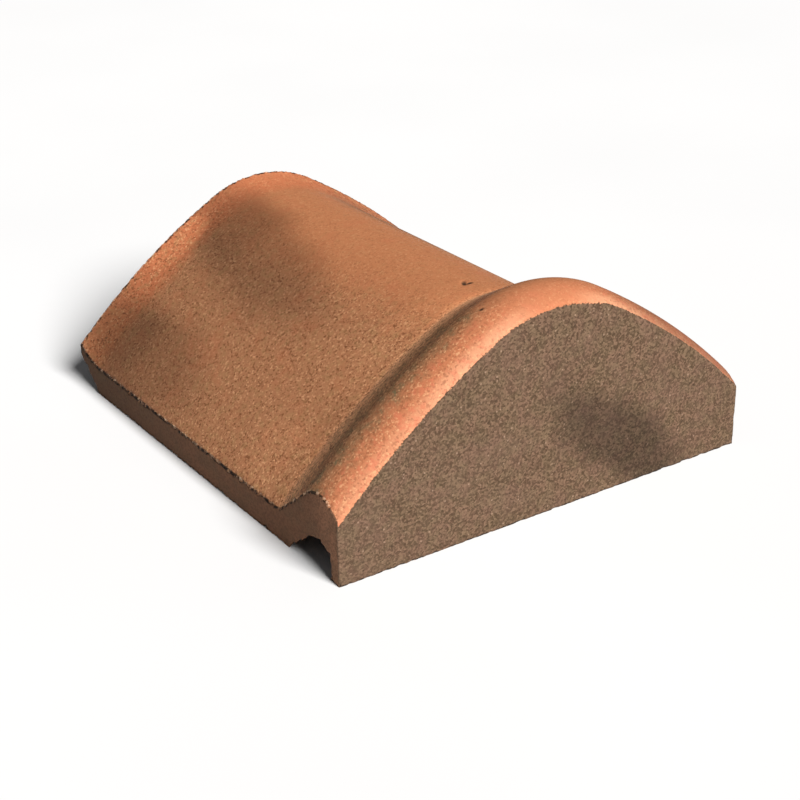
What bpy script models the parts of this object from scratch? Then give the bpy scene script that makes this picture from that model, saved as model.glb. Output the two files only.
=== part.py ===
"""Closed-end ridge tile, cast in one piece.

The body is an arch: a round crown with a long, nearly straight flank on each
side, ending in upright side faces. It is hollow underneath and open at the
rear, where the shell thins to an upturned lip. At the front a raised bead
backs a flat end wall that reaches down to the bed, and a channel runs under
the bead and out through both side faces.

X runs across the tile, Y along it from the closed end to the open one, Z up.
The origin is on the bed plane, at the middle of the tile's length and width.
Metres throughout.
"""

import math

import bmesh
import bpy
from mathutils import Matrix, Vector

# Overall size
TILE_WIDTH = 0.250
TILE_LENGTH = 0.281

# Arch of the body: crown arc, then flank arcs tangent to it
CROWN_HEIGHT = 0.099
CROWN_RADIUS = 0.063
CROWN_HALF_ANGLE = math.radians(29.3)
FLANK_RADIUS = 0.3865

# Shell and feet
SHELL_THICKNESS = 0.013
FOOT_WIDTH = 0.014
END_WALL_THICKNESS = 0.008

# Bead at the closed end, measured back from the end face
BEAD_RISE = 0.0175
BEAD_CREST = 0.016
BEAD_RADIUS = 0.025
BEAD_BACK_SLOPE = math.radians(28.8)
BEAD_FOOT_RADIUS = 0.008

# Channel under the bead
BEAD_THICKNESS = 0.0173
CHANNEL_CREST = 0.018
CHANNEL_RADIUS = 0.022
CHANNEL_BACK_SLOPE = math.radians(27.6)

# Upturned lip at the open end
LIP_LENGTH = 0.026
LIP_RADIUS = 0.070
LIP_EDGE = 0.0039
LIP_UNDERCUT_SLOPE = math.radians(31.0)

# Facets along the crown, along each flank and round each small arc
CROWN_STEPS = 14
FLANK_STEPS = 10
ARC_STEPS = 5

HALF_WIDTH = TILE_WIDTH / 2
FRONT_Y = -TILE_LENGTH / 2
REAR_Y = TILE_LENGTH / 2

# The flanks are spun past the side faces and the feet run below the bed, and both are trimmed
FLANK_ANGLE = math.radians(24.0)
BELOW_BED = -0.006


def arc(centre_y, centre_rise, radius, start, end):
    """Points of an arc in the (y, rise) plane, its angles measured from straight up towards +Y."""
    points = []
    for i in range(ARC_STEPS + 1):
        angle = start + (end - start) * i / ARC_STEPS
        y = centre_y + radius * math.sin(angle)
        points.append((y, centre_rise + radius * math.cos(angle)))
    return points


def top_outline():
    """Bead, hollow at its foot, plain run and lip, front to rear. Rise is height above the body's arch."""
    crest_y = FRONT_Y + BEAD_CREST
    centre_rise = BEAD_RISE - BEAD_RADIUS
    front = math.asin(BEAD_CREST / BEAD_RADIUS)
    bead = arc(crest_y, centre_rise, BEAD_RADIUS, -front, 0.0)
    bead += arc(crest_y, centre_rise, BEAD_RADIUS, 0.0, BEAD_BACK_SLOPE)[1:]

    # The back of the bead runs straight down to a small hollow at its foot
    slope_y, slope_rise = bead[-1]
    foot_y = slope_y + slope_rise / math.tan(BEAD_BACK_SLOPE)
    tangent = BEAD_FOOT_RADIUS * math.tan(BEAD_BACK_SLOPE / 2)
    foot = arc(foot_y + tangent, BEAD_FOOT_RADIUS, BEAD_FOOT_RADIUS, math.pi + BEAD_BACK_SLOPE, math.pi)

    lip_angle = math.asin(LIP_LENGTH / LIP_RADIUS)
    lip = arc(REAR_Y - LIP_LENGTH, LIP_RADIUS, LIP_RADIUS, math.pi, math.pi - lip_angle)
    return bead + foot + lip


def under_outline(lip_rise):
    """Underside, rear to front: slope under the lip, plain run, back and roof of the channel."""
    edge_rise = lip_rise - LIP_EDGE
    thinning_y = REAR_Y - (edge_rise + SHELL_THICKNESS) / math.tan(LIP_UNDERCUT_SLOPE)

    crest_y = FRONT_Y + CHANNEL_CREST
    centre_rise = BEAD_RISE - BEAD_THICKNESS - CHANNEL_RADIUS
    front = math.asin((CHANNEL_CREST - END_WALL_THICKNESS) / CHANNEL_RADIUS)
    roof = arc(crest_y, centre_rise, CHANNEL_RADIUS, CHANNEL_BACK_SLOPE, 0.0)
    roof += arc(crest_y, centre_rise, CHANNEL_RADIUS, 0.0, -front)[1:]
    slope_y, slope_rise = roof[0]
    run_y = slope_y + (slope_rise + SHELL_THICKNESS) / math.tan(CHANNEL_BACK_SLOPE)

    plain = [(thinning_y, -SHELL_THICKNESS), (run_y, -SHELL_THICKNESS)]
    return [(REAR_Y, edge_rise)] + plain + roof


def turned(point, pivot, angle):
    """A point turned about an axis along Y through the pivot."""
    return pivot + Matrix.Rotation(angle, 3, "Y") @ (point - pivot)


def spin_over_arch(bm, outline):
    """Spins a closed (y, rise) outline over the left flank, the crown and the right flank."""
    crown = Vector((0.0, 0.0, CROWN_HEIGHT - CROWN_RADIUS))
    reach = FLANK_RADIUS - CROWN_RADIUS
    side = reach * math.sin(CROWN_HALF_ANGLE)
    drop = reach * math.cos(CROWN_HALF_ANGLE)
    left_flank = crown + Vector((side, 0.0, -drop))
    right_flank = crown + Vector((-side, 0.0, -drop))

    loop = []
    for y, rise in outline:
        point = Vector((0.0, y, CROWN_HEIGHT + rise))
        point = turned(point, crown, -CROWN_HALF_ANGLE)
        point = turned(point, left_flank, -FLANK_ANGLE)
        loop.append(bm.verts.new(point))
    ring = list(loop)
    for first, second in zip(loop, loop[1:] + loop[:1]):
        ring.append(bm.edges.new((first, second)))

    spins = (
        (left_flank, FLANK_ANGLE, FLANK_STEPS),
        (crown, 2 * CROWN_HALF_ANGLE, CROWN_STEPS),
        (right_flank, FLANK_ANGLE, FLANK_STEPS),
    )
    for pivot, angle, steps in spins:
        swept = bmesh.ops.spin(bm, geom=ring, cent=pivot, axis=(0, 1, 0), angle=angle, steps=steps)
        ring = swept["geom_last"]


def slice_mesh(bm, point, normal, clear):
    """Cuts the mesh along a plane, and with clear set removes what lies on the normal's side of it."""
    everything = bm.verts[:] + bm.edges[:] + bm.faces[:]
    bmesh.ops.bisect_plane(bm, geom=everything, plane_co=point, plane_no=normal, clear_outer=clear)


def close_holes(bm):
    bmesh.ops.holes_fill(bm, edges=[edge for edge in bm.edges if edge.is_boundary], sides=0)
    bmesh.ops.recalc_face_normals(bm, faces=bm.faces[:])


def extrude_down(bm, faces):
    """Extrudes faces of the underside straight down, to just below the bed."""
    made = bmesh.ops.extrude_face_region(bm, geom=faces)["geom"]
    for item in made:
        if isinstance(item, bmesh.types.BMVert):
            item.co.z = BELOW_BED
    bmesh.ops.delete(bm, geom=faces, context="FACES")


def end_wall_faces(bm):
    """The strip between the end face and the channel, which the end wall hangs from."""
    inner_y = FRONT_Y + END_WALL_THICKNESS
    found = []
    for face in bm.faces:
        in_strip = all(vert.co.y < inner_y + 1e-5 for vert in face.verts)
        if in_strip and face.normal.z < -0.1:
            found.append(face)
    return found


def foot_faces(bm):
    """The plain run of the underside outside the hollow, which the two feet hang from."""
    inside = HALF_WIDTH - FOOT_WIDTH
    found = []
    for face in bm.faces:
        level = abs(face.normal.y) < 1e-4 and face.normal.z < -0.1
        outside = all(abs(vert.co.x) > inside - 1e-5 for vert in face.verts)
        behind_wall = min(vert.co.y for vert in face.verts) > FRONT_Y + 2 * END_WALL_THICKNESS
        if level and outside and behind_wall:
            found.append(face)
    return found


def tile_mesh():
    top = top_outline()
    under = under_outline(top[-1][1])
    wall_top = [(FRONT_Y, under[-1][1])]

    bm = bmesh.new()
    spin_over_arch(bm, wall_top + top + under)
    for sign in (-1, 1):
        slice_mesh(bm, (sign * HALF_WIDTH, 0, 0), (sign, 0, 0), True)
        slice_mesh(bm, (sign * (HALF_WIDTH - FOOT_WIDTH), 0, 0), (sign, 0, 0), False)
    close_holes(bm)

    extrude_down(bm, end_wall_faces(bm))
    extrude_down(bm, foot_faces(bm))
    slice_mesh(bm, (0, 0, 0), (0, 0, -1), True)
    close_holes(bm)
    bmesh.ops.dissolve_limit(bm, angle_limit=math.radians(0.05), verts=bm.verts[:], edges=bm.edges[:])
    many_sided = [face for face in bm.faces if len(face.verts) > 4]
    bmesh.ops.triangulate(bm, faces=many_sided, ngon_method="BEAUTY")

    mesh = bpy.data.meshes.new("ridge_tile")
    bm.to_mesh(mesh)
    bm.free()
    return mesh


def fired_material():
    material = bpy.data.materials.new("terracotta_coat")
    material.use_nodes = True
    shader = material.node_tree.nodes["Principled BSDF"]
    shader.inputs["Base Color"].default_value = (0.50, 0.20, 0.10, 1.0)
    shader.inputs["Roughness"].default_value = 0.85
    shader.inputs["Metallic"].default_value = 0.0
    return material


def main():
    for obj in list(bpy.data.objects):
        bpy.data.objects.remove(obj, do_unlink=True)

    parts = bpy.data.collections.new("closed_end_ridge_tile")
    bpy.context.scene.collection.children.link(parts)

    tile = bpy.data.objects.new("ridge_tile", tile_mesh())
    parts.objects.link(tile)
    tile.data.materials.append(fired_material())
    tile.data.shade_smooth()
    tile.data.set_sharp_from_angle(angle=math.radians(25))


main()
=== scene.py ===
"""Closed-end ridge tile on a pale floor: a terracotta coat sprayed over a brown, sandy, cast body."""

import math

import bmesh
import bpy
import numpy as np
from mathutils import Matrix, Vector, noise


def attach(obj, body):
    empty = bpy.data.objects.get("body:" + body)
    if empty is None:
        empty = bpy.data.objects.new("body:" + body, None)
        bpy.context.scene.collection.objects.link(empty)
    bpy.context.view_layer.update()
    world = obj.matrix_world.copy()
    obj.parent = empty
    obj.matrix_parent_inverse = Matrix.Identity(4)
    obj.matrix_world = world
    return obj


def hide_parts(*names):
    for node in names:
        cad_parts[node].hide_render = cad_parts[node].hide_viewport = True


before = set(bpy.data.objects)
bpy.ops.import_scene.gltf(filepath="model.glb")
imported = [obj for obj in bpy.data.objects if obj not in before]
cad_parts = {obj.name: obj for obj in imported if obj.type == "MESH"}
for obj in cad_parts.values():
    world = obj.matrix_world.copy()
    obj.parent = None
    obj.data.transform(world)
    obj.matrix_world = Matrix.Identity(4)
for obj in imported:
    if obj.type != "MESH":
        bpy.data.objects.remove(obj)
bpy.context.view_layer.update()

# Sizes of the tile, in metres, as in its solid
TILE_WIDTH = 0.250
TILE_LENGTH = 0.281
CROWN_HEIGHT = 0.099
CROWN_RADIUS = 0.063
CROWN_HALF_ANGLE = math.radians(29.3)
FLANK_RADIUS = 0.3865
SHELL_THICKNESS = 0.013
FOOT_WIDTH = 0.014
END_WALL_THICKNESS = 0.008
BEAD_RISE = 0.0175
BEAD_CREST = 0.016
BEAD_RADIUS = 0.025
BEAD_BACK_SLOPE = math.radians(28.8)
BEAD_FOOT_RADIUS = 0.008
BEAD_THICKNESS = 0.0173
CHANNEL_CREST = 0.018
CHANNEL_RADIUS = 0.022
CHANNEL_BACK_SLOPE = math.radians(27.6)
LIP_LENGTH = 0.026
LIP_RADIUS = 0.070
LIP_EDGE = 0.0039
LIP_UNDERCUT_SLOPE = math.radians(31.0)

HALF_WIDTH = TILE_WIDTH / 2
FRONT_Y = -TILE_LENGTH / 2
REAR_Y = TILE_LENGTH / 2
FLANK_ANGLE = math.radians(24.0)
BELOW_BED = -0.006
CROWN_AXIS = Vector((0, 0, CROWN_HEIGHT - CROWN_RADIUS))
FLANK_REACH = FLANK_RADIUS - CROWN_RADIUS
FLANK_SIDE = FLANK_REACH * math.sin(CROWN_HALF_ANGLE)
FLANK_DROP = FLANK_REACH * math.cos(CROWN_HALF_ANGLE)

# Moulding: fineness of the worked surface, and how far arrises have crumbled
GRAIN_SIZE = 0.00085
ARRIS_REACH = 0.0024
BITE_SIZE = 0.0042
BITE_DEPTH = 0.0016
CRUMB_SIZE = 0.0017
CRUMB_DEPTH = 0.0006
MOST_TRIANGLES = 194000


# Handling

def deselect_all():
    if bpy.context.mode != "OBJECT":
        bpy.ops.object.mode_set(mode="OBJECT")
    bpy.ops.object.select_all(action="DESELECT")


def work_on(piece, mode="OBJECT"):
    deselect_all()
    piece.select_set(True)
    bpy.context.view_layer.objects.active = piece
    if mode != "OBJECT":
        bpy.ops.object.mode_set(mode=mode)


def pick_faces(piece, wanted):
    """In edit mode, selects the faces for which wanted(face) holds."""
    bpy.ops.mesh.select_mode(type="FACE")
    bpy.ops.mesh.select_all(action="DESELECT")
    bm = bmesh.from_edit_mesh(piece.data)
    for face in bm.faces:
        face.select = bool(wanted(face))
    bm.select_flush_mode()
    bmesh.update_edit_mesh(piece.data)


def apply_modifier(piece, kind, **settings):
    modifier = piece.modifiers.new(kind.lower(), kind)
    for name, value in settings.items():
        setattr(modifier, name, value)
    bpy.ops.object.modifier_apply(modifier=modifier.name)


# Tracing the side outline, as (y, z) steps from one vertex

def draw_to(y, z, here):
    bpy.ops.mesh.extrude_vertices_move(TRANSFORM_OT_translate={"value": (0, y - here[0], z - here[1])})
    return y, z


def draw_arc(centre_y, centre_z, angle, steps, here):
    """Spins the last vertex about an axis along X; a positive angle turns from +Z towards +Y."""
    bpy.ops.mesh.spin(steps=steps, angle=angle, center=(0, centre_y, centre_z), axis=(1, 0, 0))
    y, z = here[0] - centre_y, here[1] - centre_z
    cos, sin = math.cos(angle), math.sin(angle)
    return centre_y + y * cos + z * sin, centre_z + z * cos - y * sin


def trace_outline(piece):
    """The tile's side outline at the crown, front face to bead to lip, and back along the underside."""
    top = CROWN_HEIGHT
    crest_y = FRONT_Y + BEAD_CREST
    bead_z = top + BEAD_RISE - BEAD_RADIUS
    front = math.asin(BEAD_CREST / BEAD_RADIUS)
    roof_y = FRONT_Y + CHANNEL_CREST
    roof_z = top + BEAD_RISE - BEAD_THICKNESS - CHANNEL_RADIUS
    roof_front = math.asin((CHANNEL_CREST - END_WALL_THICKNESS) / CHANNEL_RADIUS)
    wall_z = roof_z + CHANNEL_RADIUS * math.cos(roof_front)

    here = FRONT_Y, wall_z
    here = draw_to(FRONT_Y, bead_z + BEAD_RADIUS * math.cos(front), here)
    here = draw_arc(crest_y, bead_z, front + BEAD_BACK_SLOPE, 16, here)
    foot_y = here[0] + (here[1] - top) / math.tan(BEAD_BACK_SLOPE)
    tangent = BEAD_FOOT_RADIUS * math.tan(BEAD_BACK_SLOPE / 2)
    arc_y = foot_y - tangent * math.cos(BEAD_BACK_SLOPE)
    here = draw_to(arc_y, top + tangent * math.sin(BEAD_BACK_SLOPE), here)
    here = draw_arc(foot_y + tangent, top + BEAD_FOOT_RADIUS, -BEAD_BACK_SLOPE, 6, here)
    here = draw_to(REAR_Y - LIP_LENGTH, top, here)
    lip = math.asin(LIP_LENGTH / LIP_RADIUS)
    here = draw_arc(REAR_Y - LIP_LENGTH, top + LIP_RADIUS, -lip, 8, here)
    here = draw_to(REAR_Y, here[1] - LIP_EDGE, here)

    under = top - SHELL_THICKNESS
    thin_y = REAR_Y - (here[1] - under) / math.tan(LIP_UNDERCUT_SLOPE)
    here = draw_to(thin_y, under, here)
    back_y = roof_y + CHANNEL_RADIUS * math.sin(CHANNEL_BACK_SLOPE)
    back_z = roof_z + CHANNEL_RADIUS * math.cos(CHANNEL_BACK_SLOPE)
    here = draw_to(back_y + (back_z - under) / math.tan(CHANNEL_BACK_SLOPE), under, here)
    here = draw_to(back_y, back_z, here)
    here = draw_arc(roof_y, roof_z, -CHANNEL_BACK_SLOPE - roof_front, 10, here)

    # Join the two loose ends with an edge
    bm = bmesh.from_edit_mesh(piece.data)
    for vert in bm.verts:
        vert.select = len(vert.link_edges) == 1
    bm.select_flush_mode()
    bmesh.update_edit_mesh(piece.data)
    bpy.ops.mesh.edge_face_add()


def turn_about(centre, angle):
    """Turns what is selected about an axis along Y; a positive angle turns from +Z towards +X."""
    bpy.ops.transform.rotate(value=-angle, orient_axis="Y", orient_type="GLOBAL", center_override=centre)


def spin_about(centre, angle, steps):
    bpy.ops.mesh.spin(steps=steps, angle=-angle, center=centre, axis=(0, 1, 0))


def mould_tile():
    """The whole tile: outline spun over the arch, sides trimmed, end wall and feet drawn down to the bed."""
    deselect_all()
    start_z = CROWN_HEIGHT + BEAD_RISE - BEAD_THICKNESS - CHANNEL_RADIUS
    start_z += math.sqrt(CHANNEL_RADIUS**2 - (CHANNEL_CREST - END_WALL_THICKNESS) ** 2)
    bpy.ops.mesh.primitive_plane_add(size=0.01, location=(0, FRONT_Y, start_z))
    tile = bpy.context.active_object
    tile.name = "moulded_tile"
    bpy.ops.object.transform_apply(location=True, rotation=True, scale=True)
    work_on(tile, "EDIT")
    bpy.ops.mesh.select_mode(type="VERT")
    bpy.ops.mesh.select_all(action="SELECT")
    bpy.ops.mesh.merge(type="CENTER")
    trace_outline(tile)

    left_flank = CROWN_AXIS + Vector((FLANK_SIDE, 0, -FLANK_DROP))
    right_flank = CROWN_AXIS + Vector((-FLANK_SIDE, 0, -FLANK_DROP))
    bpy.ops.mesh.select_all(action="SELECT")
    turn_about(CROWN_AXIS, -CROWN_HALF_ANGLE)
    turn_about(left_flank, -FLANK_ANGLE)
    spin_about(left_flank, FLANK_ANGLE, 22)
    spin_about(CROWN_AXIS, 2 * CROWN_HALF_ANGLE, 36)
    spin_about(right_flank, FLANK_ANGLE, 22)

    inside = HALF_WIDTH - FOOT_WIDTH
    for side in (-1, 1):
        cut((side * HALF_WIDTH, 0, 0), (side, 0, 0), clear_outer=True, use_fill=True)
        cut((side * inside, 0, 0), (side, 0, 0))
    bpy.ops.mesh.select_all(action="SELECT")
    bpy.ops.mesh.remove_doubles(threshold=0.00001)
    bpy.ops.mesh.normals_make_consistent(inside=False)

    wall_inner = FRONT_Y + END_WALL_THICKNESS
    pick_faces(tile, lambda f: f.normal.z < -0.1 and all(v.co.y < wall_inner + 1e-5 for v in f.verts))
    draw_down()
    run_y = FRONT_Y + 0.040
    pick_faces(
        tile,
        lambda f: f.normal.z < -0.1
        and abs(f.normal.y) < 1e-3
        and all(abs(v.co.x) > inside - 1e-5 and v.co.y > run_y for v in f.verts),
    )
    draw_down()
    cut((0, 0, 0), (0, 0, 1), clear_inner=True, use_fill=True)
    bpy.ops.mesh.select_all(action="SELECT")
    bpy.ops.mesh.normals_make_consistent(inside=False)
    bpy.ops.object.mode_set(mode="OBJECT")
    return tile


def cut(place, normal, **trim):
    bpy.ops.mesh.select_all(action="SELECT")
    bpy.ops.mesh.bisect(plane_co=place, plane_no=normal, threshold=0.000001, **trim)


def draw_down():
    """Extrudes the picked faces and flattens them just below the bed, where they are trimmed later."""
    bpy.ops.mesh.extrude_region_move(TRANSFORM_OT_translate={"value": (0, 0, -0.001)})
    bpy.ops.transform.resize(value=(1, 1, 0), center_override=(0, 0, BELOW_BED))


def arris_lines(tile):
    """A wire copy of the tile's sharp edges, which shows where the casting crumbles."""
    work_on(tile, "EDIT")
    bpy.ops.mesh.select_mode(type="EDGE")
    bpy.ops.mesh.select_all(action="DESELECT")
    bpy.ops.mesh.edges_select_sharp(sharpness=math.radians(33))
    bpy.ops.mesh.duplicate()
    bpy.ops.mesh.separate(type="SELECTED")
    bpy.ops.object.mode_set(mode="OBJECT")
    lines = [o for o in bpy.context.selected_objects if o is not tile][0]
    lines.name = "arris_lines"
    work_on(lines, "EDIT")
    bpy.ops.mesh.select_all(action="SELECT")
    bpy.ops.mesh.delete(type="ONLY_FACE")
    bpy.ops.object.mode_set(mode="OBJECT")
    return lines


def coords_of(mesh):
    co = np.empty(len(mesh.vertices) * 3, np.float32)
    mesh.vertices.foreach_get("co", co)
    return co.reshape(-1, 3).astype(float)


def rise_over_arch(co):
    """Height of points above the body's arch, square to it."""
    x, z = np.abs(co[:, 0]), co[:, 2]
    crown_z = CROWN_AXIS.z
    over_crown = np.hypot(x, z - crown_z) - CROWN_RADIUS
    over_flank = np.hypot(x + FLANK_SIDE, z - (crown_z - FLANK_DROP)) - FLANK_RADIUS
    on_crown = x <= (z - crown_z) * math.tan(CROWN_HALF_ANGLE)
    return np.where(on_crown, over_crown, over_flank)


def top_rise(y):
    """Rise of the tile's upper surface at each y."""
    crest = y - (FRONT_Y + BEAD_CREST)
    bead = BEAD_RISE - BEAD_RADIUS + np.sqrt(np.maximum(BEAD_RADIUS**2 - crest**2, 0))
    end = BEAD_RADIUS * math.sin(BEAD_BACK_SLOPE)
    at_end = BEAD_RISE - BEAD_RADIUS + BEAD_RADIUS * math.cos(BEAD_BACK_SLOPE)
    slope = np.maximum(at_end - (crest - end) * math.tan(BEAD_BACK_SLOPE), 0)
    lip = np.maximum(y - (REAR_Y - LIP_LENGTH), 0)
    turned_up = LIP_RADIUS - np.sqrt(LIP_RADIUS**2 - np.minimum(lip, LIP_RADIUS) ** 2)
    return np.where(crest < end, bead, slope) + turned_up


def smooth_step(value, low, high):
    t = np.clip((value - low) / (high - low), 0, 1)
    return t * t * (3 - 2 * t)


# Small knocks in the upper surface: x, y, half length, half width, depth and turn
KNOCKS = (
    (-0.0004, -0.0676, 0.0021, 0.0040, 0.0010, -0.59),
    (0.0020, -0.0690, 0.0032, 0.0017, 0.0006, 0.06),
    (-0.0308, -0.1228, 0.0015, 0.0012, 0.0004, -0.4),
)


def knock(tile):
    """Presses the small knocks into the upper surface."""
    co = coords_of(tile.data)
    normals = normals_of(tile.data)
    for x, y, length, width, depth, turn in KNOCKS:
        dx, dy = co[:, 0] - x, co[:, 1] - y
        along = dx * math.cos(turn) + dy * math.sin(turn)
        across = dy * math.cos(turn) - dx * math.sin(turn)
        near = np.exp(-((along / length) ** 2) * 2 - ((across / width) ** 2) * 2)
        near *= co[:, 2] > 0.09
        co -= normals * (near * depth)[:, None]
    tile.data.vertices.foreach_set("co", co.astype(np.float32).ravel())
    tile.data.update()


def normals_of(mesh, softening=0):
    """Vertex normals, each averaged with its neighbours as many times as softening says."""
    normals = np.empty(len(mesh.vertices) * 3, np.float32)
    mesh.vertices.foreach_get("normal", normals)
    normals = normals.reshape(-1, 3).astype(float)
    ends = np.empty(len(mesh.edges) * 2, np.int32)
    mesh.edges.foreach_get("vertices", ends)
    here, there = ends[0::2], ends[1::2]
    count = len(normals)
    for _ in range(softening):
        for axis in range(3):
            value = normals[:, axis]
            value = value + np.bincount(here, value[there], count) + np.bincount(there, value[here], count)
            normals[:, axis] = value
        normals /= np.linalg.norm(normals, axis=1)[:, None]
    return normals


def near_arris(tile, lines):
    """How near each point is to a sharp edge of the moulded tile: 1 on it, 0 beyond the reach."""
    group = tile.vertex_groups.new(name="arris")
    group.add(list(range(len(tile.data.vertices))), 1.0, "REPLACE")
    apply_modifier(
        tile,
        "VERTEX_WEIGHT_PROXIMITY",
        vertex_group="arris",
        target=lines,
        proximity_mode="GEOMETRY",
        proximity_geometry={"EDGE"},
        min_dist=ARRIS_REACH,
        max_dist=0.0004,
    )
    return np.array([vert.groups[0].weight for vert in tile.data.vertices])


def over_end_face(co):
    """1 on the arrises beside and over the end face, which stay nearly whole, and 0 elsewhere."""
    return smooth_step(co[:, 2], 0.003, 0.008) * smooth_step(co[:, 1], FRONT_Y + 0.008, FRONT_Y + 0.004)


def crumbling(co):
    """How far each arris crumbles: fully at the sides, less round the end wall and along the rear rim."""
    wall = smooth_step(co[:, 1], FRONT_Y + 0.008, FRONT_Y + 0.004)
    rim = smooth_step(co[:, 1], REAR_Y - 0.006, REAR_Y - 0.002)
    return (1 - 0.5 * over_end_face(co)) * (1 - 0.6 * wall) * (1 - 0.6 * rim)


def weather_tile(tile):
    """Remeshes the tile finely, crumbles its arrises, and presses in the small knocks."""
    lines = arris_lines(tile)
    work_on(tile)
    apply_modifier(tile, "REMESH", mode="VOXEL", voxel_size=GRAIN_SIZE, use_smooth_shade=True)
    apply_modifier(tile, "SMOOTH", factor=0.5, iterations=2)
    near = near_arris(tile, lines)
    bpy.data.objects.remove(lines, do_unlink=True)

    mesh = tile.data
    co = coords_of(mesh)
    normals = normals_of(mesh, 10)
    depth = np.zeros(len(co))
    for index in np.nonzero(near > 0)[0]:
        place = Vector(co[index])
        bite = noise.noise(place / BITE_SIZE)
        crumb = noise.noise(place / CRUMB_SIZE + Vector((7, 3, 5)))
        depth[index] = BITE_DEPTH * max(bite + 0.05, 0) ** 1.5 + CRUMB_DEPTH * max(crumb + 0.25, 0)
    depth *= near * crumbling(co)
    co -= normals * depth[:, None]
    mesh.vertices.foreach_set("co", co.astype(np.float32).ravel())
    mesh.update()
    knock(tile)

    mesh.calc_loop_triangles()
    ratio = MOST_TRIANGLES / len(mesh.loop_triangles)
    if ratio < 1:
        apply_modifier(tile, "DECIMATE", decimate_type="COLLAPSE", ratio=ratio)
    mark_surfaces(tile)
    work_on(tile)
    bpy.ops.object.shade_smooth()


def mark_surfaces(tile):
    """Point attributes for the finish: where the coat lies, and how near an arris each point is."""
    mesh = tile.data
    co = coords_of(mesh)
    depth = top_rise(co[:, 1]) - rise_over_arch(co)
    coat = smooth_step(depth, 0.0022, 0.0010)
    short_of_arris = 0.0007 * smooth_step(co[:, 0], 0.015, 0.045)
    coat *= smooth_step(co[:, 1] - FRONT_Y - short_of_arris, -0.0004, 0.0003)
    coat *= smooth_step(HALF_WIDTH - np.abs(co[:, 0]), 0.0002, 0.0008)
    worn = np.zeros(len(co))
    index = tile.vertex_groups["arris"].index
    for vert in mesh.vertices:
        for item in vert.groups:
            if item.group == index:
                worn[vert.index] = item.weight
    worn *= 1 - 0.8 * over_end_face(co)
    between_ends = (co[:, 1] > FRONT_Y + 0.003) & (co[:, 1] < REAR_Y - 0.008)
    worn[(depth > 0.009) & (np.abs(co[:, 0]) < HALF_WIDTH - 0.003) & between_ends] = 0
    for name, values in (("coat", coat), ("wear", worn)):
        layer = mesh.attributes.new(name, "FLOAT", "POINT")
        layer.data.foreach_set("value", values.astype(np.float32))
    tile.vertex_groups.clear()


# Finish

class Finish:
    """A material under construction: makes nodes, sets their inputs and joins them."""

    def __init__(self, name):
        self.material = bpy.data.materials.new(name)
        self.material.use_nodes = True
        self.tree = self.material.node_tree
        self.tree.nodes.clear()
        self.column = 0

    def add(self, kind, inputs=None, **settings):
        made = self.tree.nodes.new(kind)
        made.location = (self.column * 180, -(self.column % 4) * 160)
        self.column += 1
        for name, value in settings.items():
            setattr(made, name, value)
        for key, value in (inputs or {}).items():
            if isinstance(value, bpy.types.NodeSocket):
                self.tree.links.new(value, made.inputs[key])
            else:
                made.inputs[key].default_value = value
        return made

    def math(self, operation, a, b):
        return self.add("ShaderNodeMath", {0: a, 1: b}, operation=operation).outputs[0]

    def times(self, a, b):
        return self.math("MULTIPLY", a, b)

    def plus(self, a, b):
        return self.math("ADD", a, b)

    def less(self, a, b):
        return self.math("SUBTRACT", a, b)

    def ramp(self, value, low, high, out_low=0.0, out_high=1.0):
        inputs = {"Value": value, "From Min": low, "From Max": high, "To Min": out_low, "To Max": out_high}
        node = self.add("ShaderNodeMapRange", inputs, interpolation_type="SMOOTHSTEP")
        return node.outputs["Result"]

    def noise(self, vector, scale, detail=2.0, roughness=0.5, seed=0.0):
        inputs = {"Vector": vector, "W": seed, "Scale": scale, "Detail": detail, "Roughness": roughness}
        return self.add("ShaderNodeTexNoise", inputs, noise_dimensions="4D").outputs["Fac"]

    def shift(self, operation, inputs):
        return self.add("ShaderNodeVectorMath", inputs, operation=operation).outputs[0]

    def mix(self, factor, a, b, blend="MIX"):
        node = self.add("ShaderNodeMix", data_type="RGBA", blend_type=blend)
        for socket, value in ((node.inputs[0], factor), (node.inputs[6], a), (node.inputs[7], b)):
            if isinstance(value, bpy.types.NodeSocket):
                self.tree.links.new(value, socket)
            else:
                socket.default_value = value
        return node.outputs[2]

    def tint(self, colour, by):
        return self.mix(1.0, colour, by, "MULTIPLY")

    def patch(self, vector, centre, radii, rotation):
        """A soft patch, 1 at its centre and 0 at its radii."""
        inputs = {"Vector": vector, "Location": centre, "Rotation": rotation, "Scale": radii}
        placed = self.add("ShaderNodeMapping", inputs, vector_type="TEXTURE").outputs[0]
        ball = self.add("ShaderNodeTexGradient", {"Vector": placed}, gradient_type="SPHERICAL").outputs["Fac"]
        return self.ramp(ball, 0.0, 0.62)


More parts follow.
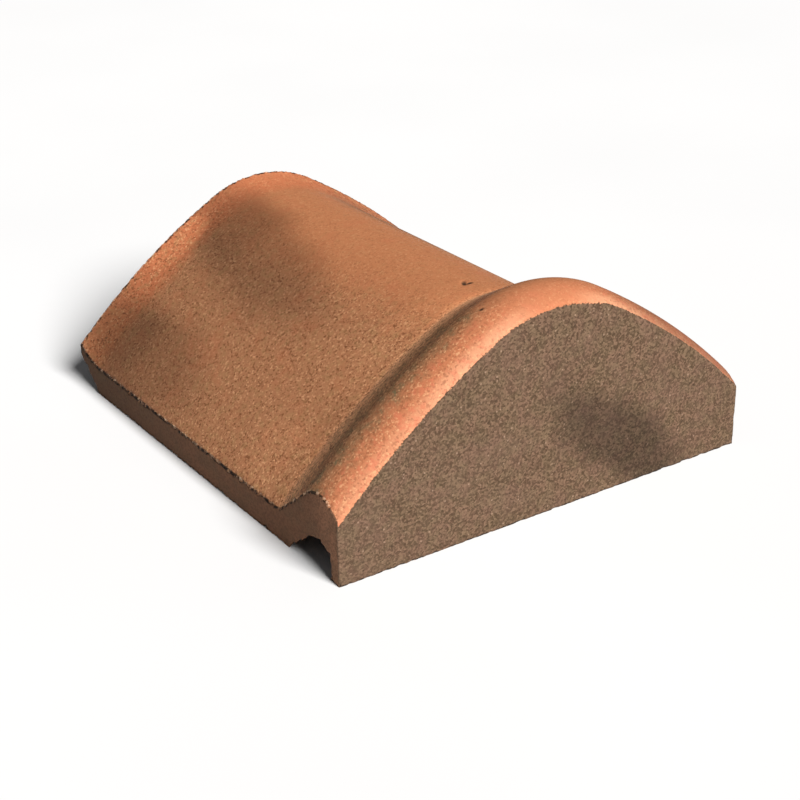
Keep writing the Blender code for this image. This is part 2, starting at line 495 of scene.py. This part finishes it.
class TileFinish(Finish):
    """The tile's finish, with the readings of its surface that the layers share."""

    def __init__(self):
        super().__init__("sprayed_terracotta_over_sandy_body")
        self.place = self.add("ShaderNodeTexCoord").outputs["Object"]
        self.coat = self.add("ShaderNodeAttribute", attribute_name="coat").outputs["Fac"]
        self.wear = self.add("ShaderNodeAttribute", attribute_name="wear").outputs["Fac"]
        axes = self.add("ShaderNodeSeparateXYZ", {0: self.place}).outputs
        self.along = axes["Y"]
        self.side = self.math("ABSOLUTE", axes["X"], 0.0)

        # Sand: grains under a millimetre across, each of its own tone, and a finer dust between them
        sand = self.add("ShaderNodeTexVoronoi", {"Vector": self.place, "Scale": 1050.0, "Randomness": 1.0})
        self.off_grain = sand.outputs["Distance"]
        self.grains = self.add("ShaderNodeSeparateColor", {0: sand.outputs["Color"]}).outputs
        coarse = self.noise(self.place, 560, 2.0, 0.6, 1.0)
        fine = self.noise(self.place, 1900, 2.0, 0.6, 2.0)
        tone = self.plus(self.times(self.grains["Red"], 0.60), self.times(coarse, 0.6))
        self.tone = self.plus(tone, self.times(fine, 0.5))
        self.patchy = self.noise(self.place, 60, 3.0, 0.6, 3.0)
        self.stained = self.noise(self.place, 230, 2.0, 0.6, 5.0)

        # The coat is finer on the crown, the bead and the lip, and breaks up in grains where it ends
        wander = self.times(self.less(self.noise(self.place, 14, 2.0, 0.5, 4.0), 0.5), 0.03)
        self.off_crown = self.plus(self.side, wander)
        self.rough = self.ramp(self.off_crown, 0.012, 0.050, 0.35, 1.0)
        self.bead = self.ramp(self.along, FRONT_Y + 0.025, FRONT_Y + 0.007)
        self.lip = self.ramp(self.plus(self.along, self.times(wander, 0.6)), REAR_Y - 0.031, REAR_Y - 0.016)
        broken = self.plus(self.coat, self.times(self.less(self.tone, 0.85), 0.6))
        self.cover = self.ramp(broken, 0.35, 0.60)


def grey(value):
    return (value, value, value, 1)


# Soft dark patches of the finish, the last two light: centre, radii, turn about Z, depth
SMUDGES = (
    ((-0.043, 0.074, 0.08), (0.034, 0.125, 0.30), math.radians(-9), 0.36),
    ((-0.034, 0.106, 0.08), (0.034, 0.040, 0.30), math.radians(-9), 0.18),
    ((-0.110, 0.096, 0.03), (0.030, 0.095, 0.30), 0.0, 0.30),
    ((-0.106, 0.116, 0.03), (0.026, 0.046, 0.30), 0.0, 0.28),
    ((0.056, 0.040, 0.08), (0.036, 0.110, 0.30), math.radians(6), 0.34),
    ((0.108, 0.085, 0.03), (0.030, 0.100, 0.30), 0.0, 0.38),
    ((0.100, -0.128, 0.03), (0.085, 0.034, 0.30), 0.0, 0.42),
    ((-0.112, -0.066, 0.03), (0.026, 0.034, 0.30), 0.0, -0.14),
    ((-0.040, -0.0735, 0.08), (0.050, 0.021, 0.30), 0.0, -0.12),
)

# A clean stretch of the lip, and a dark patch on the end face, turned about Y
CLEAN_LIP = ((-0.065, 0.144, 0.07), (0.038, 0.048, 0.30), math.radians(12), 1.03)
END_SMUDGE = ((0.047, FRONT_Y, 0.024), (0.082, 0.007, 0.025), math.radians(42), 0.47)


def sprayed_coat(made):
    """Orange along the crown, browner and darker down the flanks, partly as painted shade; redder on the bead
    and the lip, partly as painted warm light; and a painted highlight on the front arris.
    """
    rolled = made.math("MAXIMUM", made.bead, made.lip)
    # Browner down the flanks, and darker there as painted shade: the crest is kept lighter as though lit, and
    # the flanks darker as though turned from the light.
    flank_brown_and_painted_shade = made.times(made.ramp(made.off_crown, 0.018, 0.052), made.less(1.0, rolled))
    colour = made.mix(flank_brown_and_painted_shade, (0.470, 0.180, 0.077, 1), (0.405, 0.176, 0.082, 1))
    # Redder on the bead and the lip, partly as painted warm light on their faces turned towards the light.
    colour = made.mix(made.times(made.bead, 0.7), colour, (0.490, 0.168, 0.078, 1))
    lip_red_and_painted_warm_light = made.times(made.lip, made.ramp(made.side, 0.082, 0.112, 0.70, 0.25))
    colour = made.mix(lip_red_and_painted_warm_light, colour, (0.480, 0.143, 0.061, 1))
    # A painted highlight: pale peach along the front arris of the bead, where the light catches it.
    arris = made.times(made.ramp(made.along, FRONT_Y + 0.008, FRONT_Y + 0.001), 0.35)
    arris = made.times(arris, made.ramp(made.side, 0.006, 0.034, 0.0, 1.4))
    arris = made.times(arris, made.ramp(made.side, 0.050, 0.095, 1.0, 0.5))
    return made.mix(arris, colour, (0.800, 0.400, 0.230, 1))


def painted_light_behind_bead(made, colour):
    """Painted light: behind the bead, where the back slope lies in shade, the coat is painted paler."""
    painted_light = made.ramp(made.along, FRONT_Y + 0.026, FRONT_Y + 0.044)
    painted_light = made.times(painted_light, made.ramp(made.along, FRONT_Y + 0.0575, FRONT_Y + 0.0505))
    painted_light = made.times(painted_light, made.ramp(made.side, 0.008, 0.032, 0.84, 0.68))
    # The paler colour here is painted light over the shaded back of the bead.
    return made.mix(painted_light, colour, (0.840, 0.420, 0.215, 1))


def dusted_and_shaded(made, colour):
    """Grey dust, caught in blotches on the back of the bead, where it also darkens the shaded slope as
    painted shade.
    """
    creep = made.times(made.less(made.noise(made.place, 90, 2.0, 0.6, 8.0), 0.5), 0.014)
    creep = made.plus(creep, made.ramp(made.side, 0.040, 0.100, -0.0005, 0.004))
    behind = made.ramp(made.plus(made.along, creep), FRONT_Y + 0.008, FRONT_Y + 0.023)
    behind = made.times(behind, made.ramp(made.along, FRONT_Y + 0.054, FRONT_Y + 0.034))
    blotches = made.noise(made.place, 170, 2.0, 0.6, 6.0)
    behind = made.times(behind, made.ramp(blotches, 0.38, 0.62, 0.14, 0.68))
    behind = made.times(behind, made.ramp(made.side, 0.010, 0.045, 0.05, 1.0))
    behind = made.times(behind, made.ramp(made.grains["Green"], 0.20, 0.80, 0.6, 1.4))
    dust = made.mix(made.ramp(made.stained, 0.42, 0.58), (0.188, 0.146, 0.072, 1), (0.212, 0.134, 0.064, 1))
    # This colour is partly grey dust and partly painted shade on the back of the bead.
    return made.mix(behind, colour, dust)


def sanded(made, colour):
    """Sand in the coat: pale and dark grains, stains, rusty clouds, and grit in the shade of the bead."""
    pale = made.times(made.ramp(made.tone, 0.98, 1.25), made.rough)
    colour = made.mix(made.times(pale, 0.75), colour, (0.720, 0.380, 0.190, 1))
    dark = made.times(made.ramp(made.tone, 0.78, 0.50), made.rough)
    dark = made.times(dark, made.ramp(made.along, FRONT_Y + 0.006, FRONT_Y + 0.026, 0.45, 0.85))
    colour = made.mix(dark, colour, (0.150, 0.050, 0.018, 1))
    stain = made.times(made.ramp(made.stained, 0.48, 0.66), made.times(made.rough, 0.38))
    stain_colour = made.mix(made.bead, (0.370, 0.205, 0.085, 1), (0.620, 0.150, 0.080, 1))
    colour = made.mix(stain, colour, stain_colour)
    rusty = made.times(made.ramp(made.patchy, 0.50, 0.72), 0.35)
    colour = made.mix(rusty, colour, (0.480, 0.155, 0.070, 1))
    shaded = made.ramp(made.along, FRONT_Y + 0.020, FRONT_Y + 0.030)
    shaded = made.times(shaded, made.ramp(made.along, FRONT_Y + 0.061, FRONT_Y + 0.053))
    grit = made.times(shaded, made.ramp(made.tone, 0.55, 1.15, -0.20, 0.20))
    return made.tint(colour, made.plus(1.0, grit))


def bare_body(made):
    """The brown sandy body, with slow changes of hue, small pits and a few grains of quartz."""
    colour = made.mix(made.ramp(made.tone, 0.48, 1.30), (0.067, 0.039, 0.021, 1), (0.190, 0.116, 0.070, 1))
    colour = made.mix(made.ramp(made.tone, 1.20, 1.42), colour, (0.330, 0.235, 0.165, 1))
    brown = made.times(made.ramp(made.patchy, 0.4, 0.7), 0.25)
    colour = made.mix(brown, colour, (0.155, 0.090, 0.062, 1))
    clouds = made.ramp(made.noise(made.place, 130, 3.0, 0.6, 9.0), 0.36, 0.64)
    colour = made.tint(colour, made.mix(clouds, (0.968, 1.012, 0.978, 1), (1.034, 0.988, 1.022, 1)))
    cells = made.add("ShaderNodeTexVoronoi", {"Vector": made.place, "Scale": 430.0, "Randomness": 1.0})
    off_centre = cells.outputs["Distance"]
    kind = made.add("ShaderNodeSeparateColor", {0: cells.outputs["Color"]}).outputs["Red"]
    pit = made.times(made.ramp(off_centre, 0.30, 0.16), made.ramp(kind, 0.62, 0.72))
    colour = made.mix(made.times(pit, 0.50), colour, (0.034, 0.021, 0.013, 1))
    quartz = made.times(made.ramp(off_centre, 0.28, 0.14), made.ramp(kind, 0.14, 0.08))
    return made.mix(made.times(quartz, 0.50), colour, (0.390, 0.255, 0.175, 1))


def oversprayed(made, colour):
    """Thin, brushed overspray on the side faces, strongest beside the end wall and faded to the rear."""
    to_rear = made.ramp(made.along, -0.02, 0.13)
    brushed = made.mix(to_rear, (0.186, 0.083, 0.043, 1), (0.098, 0.046, 0.023, 1))
    near_end = made.ramp(made.along, FRONT_Y + 0.030, FRONT_Y + 0.002)
    brushed = made.mix(near_end, brushed, (0.320, 0.148, 0.080, 1))
    dull = made.times(made.ramp(made.patchy, 0.42, 0.60), 0.40)
    brushed = made.mix(dull, brushed, (0.105, 0.066, 0.034, 1))
    dark = made.times(made.ramp(made.tone, 0.95, 0.60), 0.35)
    brushed = made.mix(dark, brushed, (0.050, 0.028, 0.018, 1))
    spray = made.ramp(made.side, HALF_WIDTH - 0.0016, HALF_WIDTH - 0.0007)
    spray = made.times(spray, made.ramp(made.along, FRONT_Y + 0.0004, FRONT_Y + 0.0016, 0.0, 0.85))
    return made.mix(spray, colour, brushed)


def smudged(made, colour):
    """Smudges, their outlines drawn out of round by a slow noise, and painted shade that darkens the rear of
    the flanks a little.
    """
    wobble = made.add("ShaderNodeTexNoise", {"Vector": made.place, "Scale": 22.0, "Detail": 2.0})
    wobble = made.shift("SUBTRACT", {0: wobble.outputs["Color"], 1: (0.5, 0.5, 0.5)})
    wobble = made.shift("SCALE", {0: wobble, "Scale": 0.020})
    moved = made.shift("ADD", {0: made.place, 1: wobble})
    # Painted shade: away from the crown, the flanks are darkened a little towards the rear.
    painted_rear_shade = made.times(made.ramp(made.along, -0.04, 0.11), made.ramp(made.side, 0.030, 0.060))
    clear = made.less(1.0, made.times(painted_rear_shade, 0.12))
    for centre, radii, turn, depth in SMUDGES:
        soot = made.times(made.patch(moved, centre, radii, (0, 0, turn)), depth)
        clear = made.times(clear, made.less(1.0, soot))
    centre, radii, turn, depth = CLEAN_LIP
    wiped = made.times(made.patch(moved, centre, radii, (0, 0, turn)), made.times(made.lip, depth))
    clear = made.math("MAXIMUM", clear, wiped)
    colour = made.tint(colour, made.mix(made.coat, grey(1), clear))
    centre, radii, turn, depth = END_SMUDGE
    soot = made.times(made.patch(moved, centre, radii, (0, turn, 0)), depth)
    return made.tint(colour, made.less(1.0, soot))


def crumbled(made, colour):
    """Pale crumbs on the coat's edge, and near-black painted shade in the breaks beside them, along the rear
    rim and inside the knocks.
    """
    breaks = made.noise(made.place, 330, 3.0, 0.65, 7.0)
    crumbs = made.times(made.ramp(made.wear, 0.45, 0.70), made.ramp(breaks, 0.51, 0.44))
    crumbs = made.times(crumbs, made.times(made.coat, made.ramp(made.grains["Blue"], 0.45, 0.55)))
    colour = made.mix(made.times(crumbs, 0.75), colour, (0.740, 0.530, 0.360, 1))
    rim = made.ramp(made.along, REAR_Y - 0.0034, REAR_Y - 0.0020)
    along_rim = made.times(made.ramp(made.wear, 0.15, 0.35), rim)
    reach = made.math("MAXIMUM", made.ramp(made.wear, 0.62, 0.86), along_rim)
    # Near-black painted shade in the breaks along the arrises and the rim, and in the knocks below.
    shaded_breaks = made.times(reach, made.ramp(breaks, 0.50, 0.54))
    for x, y, length, width, _, turn in KNOCKS:
        centre = (x, y, CROWN_HEIGHT + BEAD_RISE / 2)
        spot = made.patch(made.place, centre, (length, width, 0.030), (0, 0, turn))
        shaded_breaks = made.math("MAXIMUM", shaded_breaks, spot)
    return made.mix(made.times(shaded_breaks, 0.92), colour, (0.022, 0.014, 0.008, 1))


def relief(made):
    """The coat has pooled at the foot of the bead, and sand stands up all over."""
    pooled = made.times(made.ramp(made.along, FRONT_Y + 0.040, FRONT_Y + 0.061, 0.0, 0.0034), made.coat)
    soft = made.add("ShaderNodeBump", {"Height": pooled, "Distance": 1.0}).outputs[0]
    height = made.plus(made.times(made.tone, 0.8), made.times(made.off_grain, -0.4))
    strength = made.mix(made.coat, grey(0.5), made.times(made.rough, 0.5))
    inputs = {"Height": height, "Strength": strength, "Distance": 0.0005, "Normal": soft}
    return made.add("ShaderNodeBump", inputs).outputs[0]


def tile_finish():
    made = TileFinish()
    coat = sanded(made, dusted_and_shaded(made, painted_light_behind_bead(made, sprayed_coat(made))))
    body = oversprayed(made, bare_body(made))
    colour = crumbled(made, smudged(made, made.mix(made.cover, body, coat)))
    dullness = made.ramp(made.plus(made.cover, made.times(made.tone, -0.3)), 0.0, 1.0, 0.93, 0.66)
    shader = made.add(
        "ShaderNodeBsdfPrincipled",
        {"Base Color": colour, "Roughness": dullness, "Normal": relief(made), "Specular IOR Level": 0.2},
    )
    made.add("ShaderNodeOutputMaterial", {"Surface": shader.outputs[0]})
    return made.material


# Studio

def floor():
    deselect_all()
    bpy.ops.mesh.primitive_plane_add(size=9.0, location=(0, 0, 0))
    ground = bpy.context.active_object
    ground.name = "floor"
    finish = Finish("pale_floor")
    place = finish.add("ShaderNodeTexCoord").outputs["Object"]
    tone = finish.ramp(finish.noise(place, 3.0), 0.3, 0.7, 0.86, 0.88)
    colour = finish.add("ShaderNodeCombineColor", {0: tone, 1: tone, 2: tone}).outputs[0]
    inputs = {"Base Color": colour, "Roughness": 0.9, "Specular IOR Level": 0.1}
    shader = finish.add("ShaderNodeBsdfPrincipled", inputs)
    finish.add("ShaderNodeOutputMaterial", {"Surface": shader.outputs[0]})
    ground.data.materials.append(finish.material)


def sun(name, azimuth, elevation, strength, softness, colour):
    """A soft distant light. Azimuth 0 shines from the closed end, 90 from the tile's right."""
    a, e = math.radians(azimuth), math.radians(elevation)
    away = Vector((math.sin(a) * math.cos(e), -math.cos(a) * math.cos(e), math.sin(e)))
    data = bpy.data.lights.new(name, "SUN")
    data.energy = strength
    data.angle = math.radians(softness)
    data.color = colour
    lamp = bpy.data.objects.new(name, data)
    lamp.rotation_euler = away.to_track_quat("Z", "Y").to_euler()
    lamp.location = away * 2
    bpy.context.scene.collection.objects.link(lamp)


def studio():
    sun("key", 4, 39, 5.4, 26, (1.0, 0.99, 0.98))
    world = bpy.data.worlds.new("soft_room")
    bpy.context.scene.world = world
    world.use_nodes = True
    background = world.node_tree.nodes["Background"]
    background.inputs["Color"].default_value = (0.95, 0.97, 1.0, 1)
    background.inputs["Strength"].default_value = 0.08


def camera():
    """A long lens, above the closed end's left corner, turned a degree as the picture is."""
    azimuth, drop, roll = math.radians(33.85), math.radians(25.51), math.radians(-0.99)
    ahead = Vector((math.sin(azimuth) * math.cos(drop), math.cos(azimuth) * math.cos(drop), -math.sin(drop)))
    level = Vector((math.cos(azimuth), -math.sin(azimuth), 0))
    over = level.cross(ahead)
    right = level * math.cos(roll) + over * math.sin(roll)
    up = over * math.cos(roll) - level * math.sin(roll)
    data = bpy.data.cameras.new("camera")
    data.sensor_width = 36
    data.lens = 74.5
    data.clip_start = 0.05
    data.clip_end = 50
    eye = bpy.data.objects.new("camera", data)
    eye.rotation_euler = Matrix((right, up, -ahead)).transposed().to_euler()
    eye.location = -ahead * 0.827 + right * -0.0754 + up * 0.0552 + Vector((0, FRONT_Y, 0))
    bpy.context.scene.collection.objects.link(eye)
    bpy.context.scene.camera = eye


tile = mould_tile()
weather_tile(tile)
tile.data.materials.clear()
tile.data.materials.append(tile_finish())
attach(tile, "root")
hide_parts("ridge_tile")

floor()
studio()
camera()
bpy.context.scene.view_settings.view_transform = "Standard"
bpy.context.scene.view_settings.look = "None"
